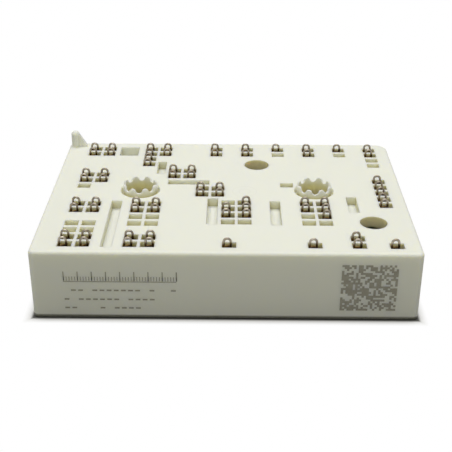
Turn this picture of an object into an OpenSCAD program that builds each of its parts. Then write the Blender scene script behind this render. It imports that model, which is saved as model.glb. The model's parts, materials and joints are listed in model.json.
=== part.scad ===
// Spring-contact power module: a three-phase rectifier, a brake switch and a
// three-phase inverter on one ceramic plate, under a moulded housing whose
// shafts hold the contact springs. Two screws press it onto a heat sink.
// Millimetres. The origin is at the middle of the base, the marked long face
// looks along -Y, and the contacts stand up along +Z.

/* [Housing] */
// Length of the housing
housing_l = 82; // [81.6:0.2:84]
// Width of the housing
housing_w = 59; // [58.6:0.2:61]
// Height of the top face above the heat sink
housing_h = 16; // [15:0.5:18]
// Thickness of the roof
roof_t = 2.6; // [2.4:0.1:3.2]
// Thickness of the outer wall
wall_t = 2.5; // [2.5:0.1:2.6]
// Thickness of the lip round the ceramic plate
lip_t = 1.2; // [1:0.1:1.3]
// Radius of the upright corners
corner_r = 1.2; // [1:0.1:2]
// Radius of the upright corner that keys the module
key_corner_r = 3; // [2.5:0.1:4]
// Rounding of the top edge
edge_r = 0.7; // [0.4:0.1:0.8]

/* [Contact slots] */
// Length of a slot, across the module
slot_l = 3; // [2.9:0.05:3.2]
// Width of a slot, front to back
slot_w = 2.4; // [2.3:0.05:2.5]
// Distance between two columns of a block
column_pitch = 3.7; // [3.6:0.05:3.8]
// Distance between two rows
row_pitch = 3.2; // [3.15:0.01:3.22]
// Distance from the middle to the front row
front_row_y = 25.8; // [25.6:0.1:25.9]
// Distance from the left end to the first column
left_margin = 7.2; // [7:0.1:7.4]
// Distance from the right end to the last column
right_margin = 4.9; // [4.8:0.1:5.2]
// Distance between the gate blocks along the back
gate_pitch = 7.8; // [7.6:0.1:7.8]
// Wall round a block of shafts
shaft_wall = 1; // [0.8:0.1:1.1]
// Height of the shafts' ends above the copper tracks
shaft_lift = 2.2; // [2:0.1:3]
// Depth of a slot that has no contact
blind_depth = 1.4; // [1:0.1:1.6]

/* [Contact springs] */
// Outer diameter of a spring
spring_d = 2; // [1.8:0.05:2.1]
// Diameter of the spring wire
wire_d = 0.5; // [0.4:0.05:0.55]
// Height that a contact stands above the top face
contact_proud = 1.75; // [1:0.05:2]
// Gap between a spring and the end wall of its slot
contact_gap = 0.1; // [0.05:0.05:0.2]
// Length of the straight legs of each hoop
leg_l = 1.1; // [0.8:0.1:2]
// Number of turns in the coil
coil_turns = 7; // [4:1:9]
// Flat that the track presses on the foot of a spring
foot_flat = 0.02; // [0.01:0.01:0.05]
// Distance of the hoops inside the coil's outer face
hoop_inset = 0.03; // [0.02:0.01:0.05]

/* [Screw crowns] */
// Distance between the two screws
screw_pitch = 40.6; // [40:0.2:41]
// Distance of the screws behind the middle
screw_y = 1; // [0.6:0.2:1.4]
// Diameter of the screw hole
screw_hole_d = 4.4; // [4.2:0.1:4.8]
// Outer diameter of a crown
crown_d = 8; // [7.6:0.1:8.2]
// Thickness of a crown's wall
crown_wall = 0.5; // [0.4:0.05:0.7]
// Height of a crown's teeth above the top face
crown_peak = 1.75; // [1.6:0.05:2]
// Height of the troughs between the teeth
crown_trough = 0.7; // [0.5:0.05:0.8]
// Number of teeth on a crown
crown_teeth = 8; // [8:1:8]
// Width of the groove round a crown
moat_w = 0.65; // [0.5:0.05:0.8]
// Depth of the groove round a crown
moat_depth = 1; // [0.6:0.1:1.4]
// Depth of the cup inside a crown
cup_depth = 7; // [6:0.5:8]
// Wall of the cup and the screw sleeve under the roof
sleeve_wall = 1.2; // [1:0.1:1.4]

/* [Holes, pockets and post] */
// Diameter of the two locating holes
port_d = 6; // [5.6:0.1:6.4]
// Distance of the front locating hole from the right end
front_port_x = 8.8; // [8.6:0.1:9]
// Distance of the front locating hole from the front face
front_port_y = 14.3; // [14:0.1:14.6]
// Distance of the back locating hole from the right end
back_port_x = 33.8; // [33.6:0.1:34]
// Distance of the back locating hole from the back face
back_port_y = 13.7; // [13.4:0.1:14]
// Depth of the collar under the back locating hole
port_collar = 6; // [4:0.5:8]
// Depth of the long pockets in the top face
pocket_depth = 2; // [1.5:0.1:2.2]
// Depth of the square pocket
deep_pocket = 2.9; // [2.5:0.1:3.5]
// Floor and wall of a pocket
pocket_wall = 0.8; // [0.6:0.1:1]
// Diameter of the corner post
post_d = 2.1; // [1.8:0.1:2.2]
// Height of the corner post
post_h = 4; // [3:0.5:6]
// Drop from the top of the corner post to the top of its rib
post_rib_drop = 0.8; // [0.6:0.1:1.5]
// Length of the rib beside the corner post
post_rib_l = 3; // [2:0.5:4]
// Thickness of the rib beside the corner post
post_rib_t = 1; // [0.8:0.1:1.4]
// Distance of the corner post from the left end
post_x = 1.7; // [1.6:0.1:2]
// Distance of the corner post from the back face
post_y = 2.2; // [2:0.1:2.5]

/* [Substrate] */
// Thickness of the copper on the underside
base_copper_t = 0.3; // [0.2:0.05:0.4]
// Thickness of the ceramic plate
ceramic_t = 0.4; // [0.3:0.05:0.65]
// Thickness of the copper tracks
track_t = 0.3; // [0.2:0.05:0.4]
// Gap between the ceramic plate and the lip
ceramic_gap = 0.2; // [0.1:0.05:0.3]
// Bare edge of the ceramic plate round the lower copper
ceramic_edge = 1; // [0.8:0.1:1.5]
// Diameter of the screw holes in the ceramic plate
ceramic_hole_d = 5.2; // [5:0.1:5.6]
// Gap between two tracks, and between a track and the housing
track_gap = 0.8; // [0.6:0.05:0.8]
// Width of the track along the left end
rail_w = 1.7; // [1.5:0.1:1.8]
// Width of the front strips that join the lower switches
strip_w = 3; // [2.8:0.1:3.2]
// Copper left beside a screw hole
hole_rim = 0.5; // [0.4:0.1:0.6]

/* [Chips and bond wires] */
// Thickness of a chip with its solder
chip_t = 0.3; // [0.2:0.05:0.4]
// Side of a transistor chip
igbt_l = 5.4; // [5:0.1:5.5]
// Side of a freewheeling diode chip
diode_l = 4.2; // [3.8:0.1:4.3]
// Side of a rectifier diode chip
rectifier_l = 4; // [3.6:0.1:4]
// Side of the brake's transistor chip
brake_chip_l = 4.4; // [4:0.1:4.4]
// Gap between a low transistor chip and the edge of its track
chip_edge = 0.6; // [0.5:0.05:0.8]
// Gap between two chips side by side
chip_gap = 1.4; // [1.2:0.05:1.5]
// Distance from the last column of slots to the left edge of the sensor's pads
sensor_pad_l = 2.3; // [2.2:0.05:2.5]
// Width and thickness of a power bond wire
bond_t = 0.35; // [0.3:0.05:0.4]
// Width and thickness of a gate bond wire
gate_bond_t = 0.2; // [0.15:0.05:0.25]
// Rise of a power bond wire's arch
bond_rise = 1.1; // [0.9:0.1:1.2]
// Rise of a gate bond wire's arch, which clears the power wires
gate_rise = 1.8; // [1.7:0.1:1.9]

/* [Hidden] */

ROUND_FN = 48;
WIRE_FN = 20;
CUT = 1;                     // how far a cutter runs past the face it opens
SKIRT_Z = base_copper_t;     // the skirt ends level with the ceramic's underside
CERAMIC_TOP = base_copper_t + ceramic_t;
TRACK_TOP = CERAMIC_TOP + track_t;
CHIP_TOP = TRACK_TOP + chip_t;
ROOF_Z = housing_h - roof_t;
SHAFT_Z = TRACK_TOP + shaft_lift;
CUP_FLOOR = housing_h - cup_depth;
SLEEVE_R = screw_hole_d / 2 + sleeve_wall;
TRACK_HOLE_R = SLEEVE_R + track_gap;
// outermost copper, inside the housing's wall
TX = housing_l / 2 - wall_t - track_gap / 2;
TY = housing_w / 2 - wall_t - track_gap / 2;
SCREWS = [for (s = [-1, 1]) [s * screw_pitch / 2, screw_y]];
FRONT_PORT = [housing_l / 2 - front_port_x, front_port_y - housing_w / 2];
BACK_PORT = [housing_l / 2 - back_port_x, housing_w / 2 - back_port_y];
POST_XY = [post_x - housing_l / 2, housing_w / 2 - post_y];
LEFT_X = left_margin - housing_l / 2;
RIGHT_X = housing_l / 2 - right_margin;

// y of a row of slots, counted from the front row
function row(k) = -front_row_y + k * row_pitch;
// x of a place, counted in twentieths of the way from the first column to the last
function col(k) = LEFT_X + k * (RIGHT_X - LEFT_X) / 20;
// x of a gate block, counted from the one nearest the middle
function gate_x(k) = RIGHT_X - (5 - k) * gate_pitch;

// Blocks of slots: group, x of the left column, y of the front row, and one
// word per column. A word runs from front to back: c is a slot with a
// contact, b a blind slot and "-" no slot.
BLOCKS = [
    ["input_1", LEFT_X, row(0), ["ccbb", "ccbb"]],
    ["input_2", LEFT_X, row(5), ["cc", "cc"]],
    ["input_3", LEFT_X, row(9), ["bcc", "-cc"]],
    ["rectifier_minus", LEFT_X, row(15), ["cc", "cc"]],
    ["rectifier_plus", col(3.9), row(0), ["cc", "cc"]],
    ["brake_minus", col(3.9), row(3), ["bbcc", "bbcc"]],
    ["brake", col(4.1), row(13), ["cccc"]],
    ["brake_gate", col(5.15), row(15), ["cc"]],
    ["dc_plus", col(6), row(10.8), ["cc", "cc"]],
    ["dc_minus", col(8), row(7.65), ["cc", "cc"]],
    ["phase_u", col(9.75), row(3.3), ["bccb", "bccc"]],
    ["phase_v", col(14.85), row(3.2), ["bbcc", "bccc"]],
    ["phase_w", RIGHT_X, row(6), ["ccccc"]],
    ["gates_high", gate_x(0), row(15), ["cc"]],
    ["gates_high", gate_x(1), row(15), ["cc"]],
    ["sensor", gate_x(2), row(15), ["bc"]],
    ["gates_high", gate_x(3), row(15), ["cc"]],
    ["gates_high", gate_x(4), row(15), ["bc"]],
    ["sensor", gate_x(5), row(13), ["bbcc"]],
    ["gates_low", col(9.85), row(0), ["c"]],
    ["gates_low", col(15), row(0), ["c"]],
    ["gates_low", col(17.65), row(0), ["cc"]],
    ["gates_low", col(19.9), row(0), ["c"]],
    ["spare", col(13.7), row(9.3), ["b"]]
];
// the right-hand column of a block holds its contacts on the other side
function side(column, block) = column == 0 && block[0] != "brake_gate" ? -1 : 1;
// centres of a block's slots that carry the given letter, with their side
function slots(block, letter) = [
    for (c = [0 : len(block[3]) - 1], r = [0 : len(block[3][c]) - 1])
        if (block[3][c][r] == letter)
            [block[1] + c * column_pitch, block[2] + r * row_pitch, side(c, block)]
];
// distance from a slot's centre to the axis of its spring
SPRING_SHIFT = slot_l / 2 - contact_gap - spring_d / 2;

// Pockets in the top face: centre, size and depth
POCKETS = [
    [[col(2.5), row(3.05)], [2.4, 22], pocket_depth],
    [[col(8.75), row(4.95)], [2.4, 13], pocket_depth],
    [[col(12.8), row(4.7)], [2.4, 12], pocket_depth],
    [[col(17.85), row(6.1)], [2.4, 8], pocket_depth],
    [[col(5.05), row(12.35)], [2.1, 7.2], pocket_depth],
    [[col(7.05), row(9.7)], [9.8, 2.4], pocket_depth],
    [[col(2.5), row(15.5)], [4.7, 5.4], deep_pocket]
];

// Edges between the tracks, shared by the tracks on both sides
INPUT_X = [rail_w + track_gap - TX, col(1.5)];
BRAKE_X = [col(3.4), col(4.75)];
PHASE_X = [col(8.9), col(12.8), SCREWS[1][0] + TRACK_HOLE_R + hole_rim];
PHASE_Y = [row(1.7), row(6.8)];
BRIDGE_Y = row(9.95);
MINUS_X = col(5.4);            // left edge of the brake's and the bridge's minus track
STEP_X = [col(9.5), col(12.25)];
SENSOR_X = RIGHT_X - sensor_pad_l - track_gap;
SENSOR_Y = row(10.55);
PAD_HALF = slot_w / 2 + 0.4;
// where the rectifier's plus track passes the left screw: x0, y0, x1, y1
BYPASS = [
    min(INPUT_X[1] + track_gap, SCREWS[0][0] - TRACK_HOLE_R - rail_w),
    SCREWS[0][1] - TRACK_HOLE_R - rail_w,
    BRAKE_X[0] - track_gap,
    SCREWS[0][1] + TRACK_HOLE_R + rail_w
];

// Chips: the middle of each, by kind
INPUT_DIODES = [for (k = [2.6, 7.4, 12.2]) [(INPUT_X[0] + INPUT_X[1]) / 2, row(k)]];
OUTPUT_DIODES = [for (k = [2.7, 6.6, 12]) [(INPUT_X[1] + BRAKE_X[0]) / 2, row(k)]];
HIGH_IGBTS = [for (k = [9.85, 13.4, 16.95]) [col(k), row(11.5)]];
HIGH_DIODES = [for (xy = HIGH_IGBTS) xy + [(igbt_l + diode_l) / 2 + chip_gap / 2, 0]];
LOW_IGBTS = [for (x = PHASE_X) [x + track_gap + chip_edge + igbt_l / 2, row(2.75)]];
CHIP_STEP = (igbt_l + diode_l) / 2 + chip_gap;
// a low diode lies beside its transistor, and behind it on the last phase
LOW_DIODES = [for (k = [0 : 2]) LOW_IGBTS[k] + (k < 2 ? [CHIP_STEP, 0] : [0, CHIP_STEP])];
BRAKE_IGBT = [(BRAKE_X[0] + BRAKE_X[1]) / 2, row(11)];
BRAKE_DIODE = [col(6.2), row(13.4)];
SENSOR_XY = [RIGHT_X, row(12.5)];
SENSOR_SIZE = [1.3, 3.4, 0.6];
GATE_PADS = [for (block = BLOCKS) if (block[0] == "gates_low") block[1] - SPRING_SHIFT];
BRAKE_PAD = [for (block = BLOCKS) if (block[0] == "brake_gate") block[1] + SPRING_SHIFT][0];
BOND_SPREAD = 1.1;           // half the distance between a chip's two bond wires

// ---------------------------------------------------------------- housing

// Plan of the housing: three corners alike and the keyed one at the back right
module housing_plan() {
    lx = housing_l / 2;
    ly = housing_w / 2;
    difference() {
        translate([-lx, -ly]) square([housing_l, housing_w]);
        for (c = [[-1, -1, corner_r], [1, -1, corner_r], [-1, 1, corner_r], [1, 1, key_corner_r]])
            translate([c[0] * (lx - c[2]), c[1] * (ly - c[2])])
                difference() {
                    translate([c[0] > 0 ? 0 : -c[2] - CUT, c[1] > 0 ? 0 : -c[2] - CUT])
                        square(c[2] + CUT);
                    circle(c[2], $fn = ROUND_FN);
                }
    }
}

// What the rounding of the top edge takes away, in section
module edge_section() {
    difference() {
        square(edge_r + CUT);
        circle(edge_r, $fn = ROUND_FN);
    }
}

// One straight stretch of the rounding, along +X, with the block on its -Y side
module edge_cut(l) {
    rotate([90, 0, 90]) linear_extrude(l) edge_section();
}

// The rounding of the whole top edge
module top_edge_cut() {
    lx = housing_l / 2;
    ly = housing_w / 2;
    z = housing_h - edge_r;
    translate([-lx + corner_r, ly - edge_r, z]) edge_cut(housing_l - corner_r - key_corner_r);
    translate([lx - corner_r, edge_r - ly, z]) rotate(180) edge_cut(housing_l - 2 * corner_r);
    translate([lx - edge_r, ly - key_corner_r, z]) rotate(-90) edge_cut(housing_w - corner_r - key_corner_r);
    translate([edge_r - lx, corner_r - ly, z]) rotate(90) edge_cut(housing_w - 2 * corner_r);
    for (c = [[1, 1, key_corner_r, 0], [-1, 1, corner_r, 90], [-1, -1, corner_r, 180], [1, -1, corner_r, 270]])
        translate([c[0] * (lx - c[2]), c[1] * (ly - c[2]), z])
            rotate(c[3])
                rotate_extrude(angle = 90, $fn = ROUND_FN)
                    translate([c[2] - edge_r, 0]) edge_section();
}

// Roof and outer walls, open below, with the rebate that takes the ceramic
module shell() {
    difference() {
        translate([0, 0, SKIRT_Z]) linear_extrude(housing_h - SKIRT_Z) housing_plan();
        top_edge_cut();
        box_on([housing_l - 2 * wall_t, housing_w - 2 * wall_t], -CUT, ROOF_Z);
        box_on([housing_l - 2 * lip_t, housing_w - 2 * lip_t], -CUT, CERAMIC_TOP);
    }
}

// A box centred on the origin in plan, from z0 to z1
module box_on(size, z0, z1) {
    translate([-size[0] / 2, -size[1] / 2, z0]) cube([size[0], size[1], z1 - z0]);
}

// The walls round one block's shafts, from the roof down towards the tracks
module shaft_block(block) {
    rows = max([for (word = block[3]) len(word)]);
    size = [
        (len(block[3]) - 1) * column_pitch + slot_l + 2 * shaft_wall,
        (rows - 1) * row_pitch + slot_w + 2 * shaft_wall
    ];
    translate([
        block[1] + (len(block[3]) - 1) * column_pitch / 2,
        block[2] + (rows - 1) * row_pitch / 2
    ]) box_on(size, SHAFT_Z, ROOF_Z + CUT);
}

// A pocket's walls and floor under the roof
module pocket_box(pocket) {
    rim = [2 * pocket_wall, 2 * pocket_wall];
    translate(pocket[0]) box_on(pocket[1] + rim, housing_h - pocket[2] - pocket_wall, ROOF_Z + CUT);
}

// The cup and the screw sleeve that stands on the ceramic plate
module screw_sleeve() {
    translate([0, 0, CERAMIC_TOP]) cylinder(r = SLEEVE_R, h = ROOF_Z - CERAMIC_TOP + CUT, $fn = ROUND_FN);
    translate([0, 0, CUP_FLOOR - sleeve_wall])
        cylinder(r = crown_d / 2 - crown_wall + sleeve_wall, h = ROOF_Z - CUP_FLOOR + sleeve_wall + CUT,
            $fn = ROUND_FN);
}

// Radial pegs that shape a crown's teeth, or the troughs between them
module crown_pegs(r, z, turn) {
    for (k = [0 : crown_teeth - 1])
        rotate(turn + k * 360 / crown_teeth)
            translate([0, 0, z]) rotate([0, 90, 0]) cylinder(r = r, h = crown_d, $fn = ROUND_FN);
}

// The wavy collar round a screw hole: equal arcs, convex on the teeth and
// concave in the troughs, that meet at half height
module crown() {
    half_wave = PI * (crown_d - crown_wall) / crown_teeth / 2;
    rise = crown_peak - crown_trough;
    lean = 2 * atan(rise / half_wave);
    wave_r = half_wave / (2 * sin(lean));
    tooth_turn = 180 / crown_teeth;
    translate([0, 0, housing_h])
        difference() {
            union() {
                tube(crown_d / 2, -roof_t / 2, crown_trough + rise / 2);
                intersection() {
                    tube(crown_d / 2, 0, crown_peak);
                    crown_pegs(wave_r, crown_peak - wave_r, tooth_turn);
                }
            }
            crown_pegs(wave_r, crown_trough + wave_r, 0);
        }
}

// A tube with a crown's wall
module tube(r, z0, z1) {
    translate([0, 0, z0]) difference() {
        cylinder(r = r, h = z1 - z0, $fn = ROUND_FN);
        translate([0, 0, -CUT]) cylinder(r = r - crown_wall, h = z1 - z0 + 2 * CUT, $fn = ROUND_FN);
    }
}

// The groove round a crown, with a sloping outer side
module moat() {
    translate([0, 0, housing_h])
        rotate_extrude($fn = ROUND_FN)
            polygon([
                [crown_d / 2, -moat_depth],
                [crown_d / 2 + moat_w / 3, -moat_depth],
                [crown_d / 2 + moat_w, 0],
                [crown_d / 2 + moat_w, CUT],
                [crown_d / 2, CUT]
            ]);
}

// The cup and the screw hole through a crown
module screw_bore() {
    translate([0, 0, CUP_FLOOR])
        cylinder(r = crown_d / 2 - crown_wall, h = cup_depth + crown_peak + CUT, $fn = ROUND_FN);
    cylinder(d = screw_hole_d, h = housing_h, $fn = ROUND_FN);
}

// The post that keys the circuit board, with a rib along the back edge
module corner_post() {
    rib_top = post_h - post_rib_drop + CUT;
    translate([POST_XY[0], POST_XY[1], housing_h - CUT]) {
        cylinder(d = post_d, h = post_h - post_d / 4 + CUT, $fn = ROUND_FN);
        translate([0, 0, post_h - post_d / 4 + CUT])
            cylinder(d1 = post_d, d2 = post_d * 0.6, h = post_d / 4, $fn = ROUND_FN);
        translate([0, post_rib_t / 2, 0]) rotate([90, 0, 0])
            linear_extrude(post_rib_t)
                polygon([
                    [0, 0], [post_rib_l, 0], [post_rib_l, CUT],
                    [post_d / 2, rib_top], [0, rib_top]
                ]);
    }
}

module housing() {
    color([0.9, 0.9, 0.85])
        difference() {
            union() {
                difference() {
                    union() {
                        shell();
                        for (block = BLOCKS) if (block[0] != "spare") shaft_block(block);
                        for (pocket = POCKETS) pocket_box(pocket);
                        for (xy = SCREWS) translate(xy) screw_sleeve();
                        translate([BACK_PORT[0], BACK_PORT[1], housing_h - port_collar])
                            cylinder(d = port_d + 2 * pocket_wall, h = port_collar - roof_t + CUT, $fn = ROUND_FN);
                        corner_post();
                    }
                    for (xy = SCREWS) translate(xy) moat();
                }
                for (xy = SCREWS) translate(xy) crown();
            }
            for (xy = SCREWS) translate(xy) screw_bore();
            for (xy = [FRONT_PORT, BACK_PORT])
                translate([xy[0], xy[1], SHAFT_Z]) cylinder(d = port_d, h = housing_h, $fn = ROUND_FN);
            for (block = BLOCKS) {
                for (s = slots(block, "c"))
                    translate([s[0], s[1]]) box_on([slot_l, slot_w], SHAFT_Z - CUT, housing_h + CUT);
                for (s = slots(block, "b"))
                    translate([s[0], s[1]]) box_on([slot_l, slot_w], housing_h - blind_depth, housing_h + CUT);
            }
            for (pocket = POCKETS)
                translate(pocket[0]) box_on(pocket[1], housing_h - pocket[2], housing_h + CUT);
        }
}

// -------------------------------------------------------------- substrate

// Screw holes through the substrate
module substrate_holes(r) {
    for (xy = SCREWS) translate([xy[0], xy[1], -CUT])
        cylinder(r = r, h = TRACK_TOP + 2 * CUT, $fn = ROUND_FN);
}

module base_copper() {
    inset = 2 * (lip_t + ceramic_gap + ceramic_edge);
    color([0.8, 0.5, 0.3])
        difference() {
            box_on([housing_l - inset, housing_w - inset], 0, base_copper_t);
            substrate_holes(ceramic_hole_d / 2);
        }
}

module ceramic_plate() {
    inset = 2 * (lip_t + ceramic_gap);
    color([0.92, 0.92, 0.9])
        difference() {
            box_on([housing_l - inset, housing_w - inset], base_copper_t, CERAMIC_TOP);
            substrate_holes(ceramic_hole_d / 2);
        }
}

// A rectangle from its two corners, grown by a margin
module plate(r, margin = 0) {
    translate([r[0] - margin, r[1] - margin]) square([r[2] - r[0] + 2 * margin, r[3] - r[1] + 2 * margin]);
}

// A copper track: rectangles that join, clear of the screw sleeves
module track(rectangles) {
    color([0.85, 0.55, 0.35])
        difference() {
            translate([0, 0, CERAMIC_TOP]) linear_extrude(track_t)
                for (r = rectangles) plate(r);
            substrate_holes(TRACK_HOLE_R);
        }
}

// An input track from y0 to y1, clear of the plus track beside it
module input_track(y0, y1) {
    difference() {
        track([[INPUT_X[0], y0, INPUT_X[1], y1]]);
        translate([0, 0, CERAMIC_TOP - CUT]) linear_extrude(track_t + 2 * CUT) plate(BYPASS, track_gap);
    }
}

module track_input_1() input_track(-TY, row(4) - track_gap);
module track_input_2() input_track(row(4), row(8.25) - track_gap);
module track_input_3() input_track(row(8.25), row(13.2) - track_gap);

module track_rectifier_minus()
    track([
        [-TX, -TY, INPUT_X[0] - track_gap, row(13.2)],
        [-TX, row(13.2), INPUT_X[1], TY]
    ]);

module track_rectifier_plus()
    track([
        [INPUT_X[1] + track_gap, -TY, BRAKE_X[0] - track_gap, TY],
        [BRAKE_X[0] - track_gap, -TY, MINUS_X - track_gap, PHASE_Y[0] - track_gap],
        BYPASS
    ]);

module track_brake() track([[BRAKE_X[0], BRIDGE_Y, BRAKE_X[1], TY]]);

module track_dc_plus()
    track([[BRAKE_X[1] + track_gap, BRIDGE_Y + track_gap, SENSOR_X, row(14.3)]]);

module track_dc_minus()
    track([
        [BRAKE_X[0], PHASE_Y[0], PHASE_X[0], PHASE_Y[1]],
        [MINUS_X, PHASE_Y[0] - strip_w, PHASE_X[0], PHASE_Y[0]],
        [PHASE_X[0], PHASE_Y[0] - strip_w, TX, PHASE_Y[0] - track_gap],
        [MINUS_X, PHASE_Y[1], PHASE_X[0], BRIDGE_Y],
        [PHASE_X[0], PHASE_Y[1] + track_gap, STEP_X[0], BRIDGE_Y]
    ]);

module track_phase_u()
    track([
        [PHASE_X[0] + track_gap, PHASE_Y[0], PHASE_X[1], PHASE_Y[1]],
        [STEP_X[0] + track_gap, PHASE_Y[1], STEP_X[1], BRIDGE_Y]
    ]);

module track_phase_v()
    track([
        [PHASE_X[1] + track_gap, PHASE_Y[0], PHASE_X[2], BRIDGE_Y],
        [STEP_X[1] + track_gap, PHASE_Y[1] + track_gap, PHASE_X[2], BRIDGE_Y]
    ]);

module track_phase_w()
    track([
        [PHASE_X[2] + track_gap, PHASE_Y[0], TX, BRIDGE_Y],
        [SENSOR_X + track_gap, BRIDGE_Y, TX, SENSOR_Y]
    ]);

// Small pads under the gate, emitter and sensor contacts
module control_pads() {
    pad_split = row(15.5);
    color([0.85, 0.55, 0.35])
        translate([0, 0, CERAMIC_TOP]) linear_extrude(track_t) {
            // gate and emitter pads along the back, in pairs
            for (block = BLOCKS)
                if (block[0] == "gates_high" || block[0] == "brake_gate" || block[0] == "sensor")
                    for (back = [0, 1]) {
                        x = block[1] + side(0, block) * SPRING_SHIFT;
                        y0 = back == 0 ? row(14.3) + track_gap : pad_split + track_gap / 2;
                        y1 = back == 0 ? pad_split - track_gap / 2 : TY;
                        translate([max(x - PAD_HALF, BRAKE_X[1] + track_gap), y0])
                            square([min(2 * PAD_HALF, x + PAD_HALF - BRAKE_X[1] - track_gap), y1 - y0]);
                    }
            // gate pads along the front
            for (block = BLOCKS)
                if (block[0] == "gates_low")
                    translate([block[1] - SPRING_SHIFT - PAD_HALF, -TY])
                        square([2 * PAD_HALF, TY + PHASE_Y[0] - strip_w - track_gap]);
            // the two ends of the temperature sensor
            for (y = [SENSOR_Y + track_gap, SENSOR_XY[1] + track_gap / 2])
                translate([SENSOR_X + track_gap, y])
                    square([TX - SENSOR_X - track_gap, SENSOR_XY[1] - SENSOR_Y - track_gap * 1.5]);
        }
}

// ------------------------------------------------------- chips and wires

// Square chips soldered on the tracks
module chips(centres, side_l) {
    for (xy = centres) translate(xy) box_on([side_l, side_l], TRACK_TOP, CHIP_TOP);
}

module rectifier_diodes() {
    color([0.35, 0.37, 0.42]) {
        chips(INPUT_DIODES, rectifier_l);
        chips(OUTPUT_DIODES, rectifier_l);
    }
}

module igbt_chips() {
    color([0.45, 0.47, 0.5]) {
        chips(HIGH_IGBTS, igbt_l);
        chips(LOW_IGBTS, igbt_l);
        chips([BRAKE_IGBT], brake_chip_l);
    }
}

module freewheel_diodes() {
    color([0.4, 0.42, 0.46]) {
        chips(HIGH_DIODES, diode_l);
        chips(LOW_DIODES, diode_l);
        chips([BRAKE_DIODE], diode_l);
    }
}

module temperature_sensor() {
    color([0.25, 0.25, 0.27])
        translate(SENSOR_XY)
            box_on([SENSOR_SIZE[0], SENSOR_SIZE[1]], TRACK_TOP, TRACK_TOP + SENSOR_SIZE[2]);
}

// A bond wire: an arch from a chip's top to a track, or to another chip
module bond(from, to, t, rise, to_chip = false) {
    span = norm(to - from);
    arch_r = (span * span / 4 + rise * rise) / (2 * rise);
    base_z = to_chip ? CHIP_TOP : TRACK_TOP;
    translate([from[0], from[1], base_z])
        rotate(atan2(to[1] - from[1], to[0] - from[0]))
            rotate([90, 0, 0]) translate([0, 0, -t / 2])
                linear_extrude(t)
                    difference() {
                        intersection() {
                            translate([span / 2, rise - arch_r]) circle(arch_r, $fn = 96);
                            translate([-CUT, 0]) square([span + 2 * CUT, rise + CUT]);
                        }
                        translate([span / 2, rise - arch_r]) circle(arch_r - t, $fn = 96);
                        if (!to_chip) translate([-CUT, -CUT]) square([span / 2 + CUT, CUT + chip_t]);
                    }
}

// Two bond wires side by side
module bond_pair(from, to, to_chip = false) {
    along = (to - from) / norm(to - from);
    across = [-along[1], along[0]] * BOND_SPREAD;
    for (s = [-1, 1]) bond(from + s * across, to + s * across, bond_t, bond_rise, to_chip);
}

module power_bond_wires() {
    color([0.8, 0.8, 0.82]) {
        for (d = INPUT_DIODES) bond_pair(d, [(-TX + INPUT_X[0] - track_gap) / 2, d[1]]);
        for (d = OUTPUT_DIODES) bond_pair(d, [INPUT_X[1] - 0.8, d[1]]);
        for (k = [0 : 2]) {
            bond_pair(HIGH_IGBTS[k] + [BOND_SPREAD, 0], [HIGH_IGBTS[k][0] + BOND_SPREAD, BRIDGE_Y - 1]);
            bond_pair(HIGH_DIODES[k], HIGH_IGBTS[k] + [2 * BOND_SPREAD + 0.3, 0], true);
            bond_pair(LOW_IGBTS[k], [LOW_IGBTS[k][0], PHASE_Y[0] - 1.9]);
            bond_pair(LOW_DIODES[k], LOW_IGBTS[k] + 2 * BOND_SPREAD * (k < 2 ? [1, 0] : [0, 1]), true);
        }
        bond(BRAKE_IGBT, [MINUS_X + 1, BRIDGE_Y - 1], bond_t, bond_rise);
        bond(BRAKE_DIODE, [BRAKE_X[1] - 0.7, BRAKE_DIODE[1] + 0.4], bond_t, bond_rise);
    }
}

module gate_bond_wires() {
    color([0.85, 0.85, 0.86]) {
        edge = igbt_l / 2 - 0.6;
        bond(HIGH_IGBTS[0] + [-edge, edge], [gate_x(0) + 0.8, row(14.8)], gate_bond_t, gate_rise);
        bond(HIGH_IGBTS[1] + [edge, edge], [gate_x(3) - 1.5, row(14.8)], gate_bond_t, gate_rise);
        bond(HIGH_IGBTS[2] + [edge, edge], [gate_x(4), row(14.8)], gate_bond_t, gate_rise);
        bond(LOW_IGBTS[0] + [-edge, -edge], [GATE_PADS[0], -TY + 1.4], gate_bond_t, gate_rise);
        bond(LOW_IGBTS[1] + [edge, -edge], [GATE_PADS[1] - 1, -TY + 1.4], gate_bond_t, gate_rise);
        bond(LOW_IGBTS[2] + [edge, -edge], [GATE_PADS[2] + 1.3, -TY + 1.4], gate_bond_t, gate_rise);
        brake_edge = brake_chip_l / 2 - 0.8;
        bond(BRAKE_IGBT + [brake_edge, brake_edge], [BRAKE_PAD, row(14.9)], gate_bond_t, gate_rise);
    }
}

// ---------------------------------------------------------------- contacts

// A hoop of wire: an arch on two straight legs, standing on z = 0
module hoop() {
    bend_r = spring_d / 2 - wire_d / 2 - hoop_inset;
    translate([0, 0, leg_l]) rotate([90, 0, 0])
        rotate_extrude(angle = 180, $fn = ROUND_FN)
            translate([bend_r, 0]) circle(d = wire_d, $fn = WIRE_FN);
    for (s = [-1, 1]) translate([s * bend_r, 0, 0]) cylinder(d = wire_d, h = leg_l, $fn = WIRE_FN);
}

// The coil between the hoops, a wave for each turn
module coil(h) {
    outer_r = spring_d / 2;
    inner_r = outer_r - wire_d - 2 * hoop_inset;
    turn_h = h / coil_turns;
    rotate_extrude($fn = ROUND_FN)
        polygon(concat(
            [[inner_r, 0]],
            [for (k = [0 : coil_turns - 1], half = [0 : 1])
                [outer_r - half * wire_d / 2, (k + half / 2) * turn_h]],
            [[outer_r, h], [inner_r, h]]
        ));
}

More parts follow.
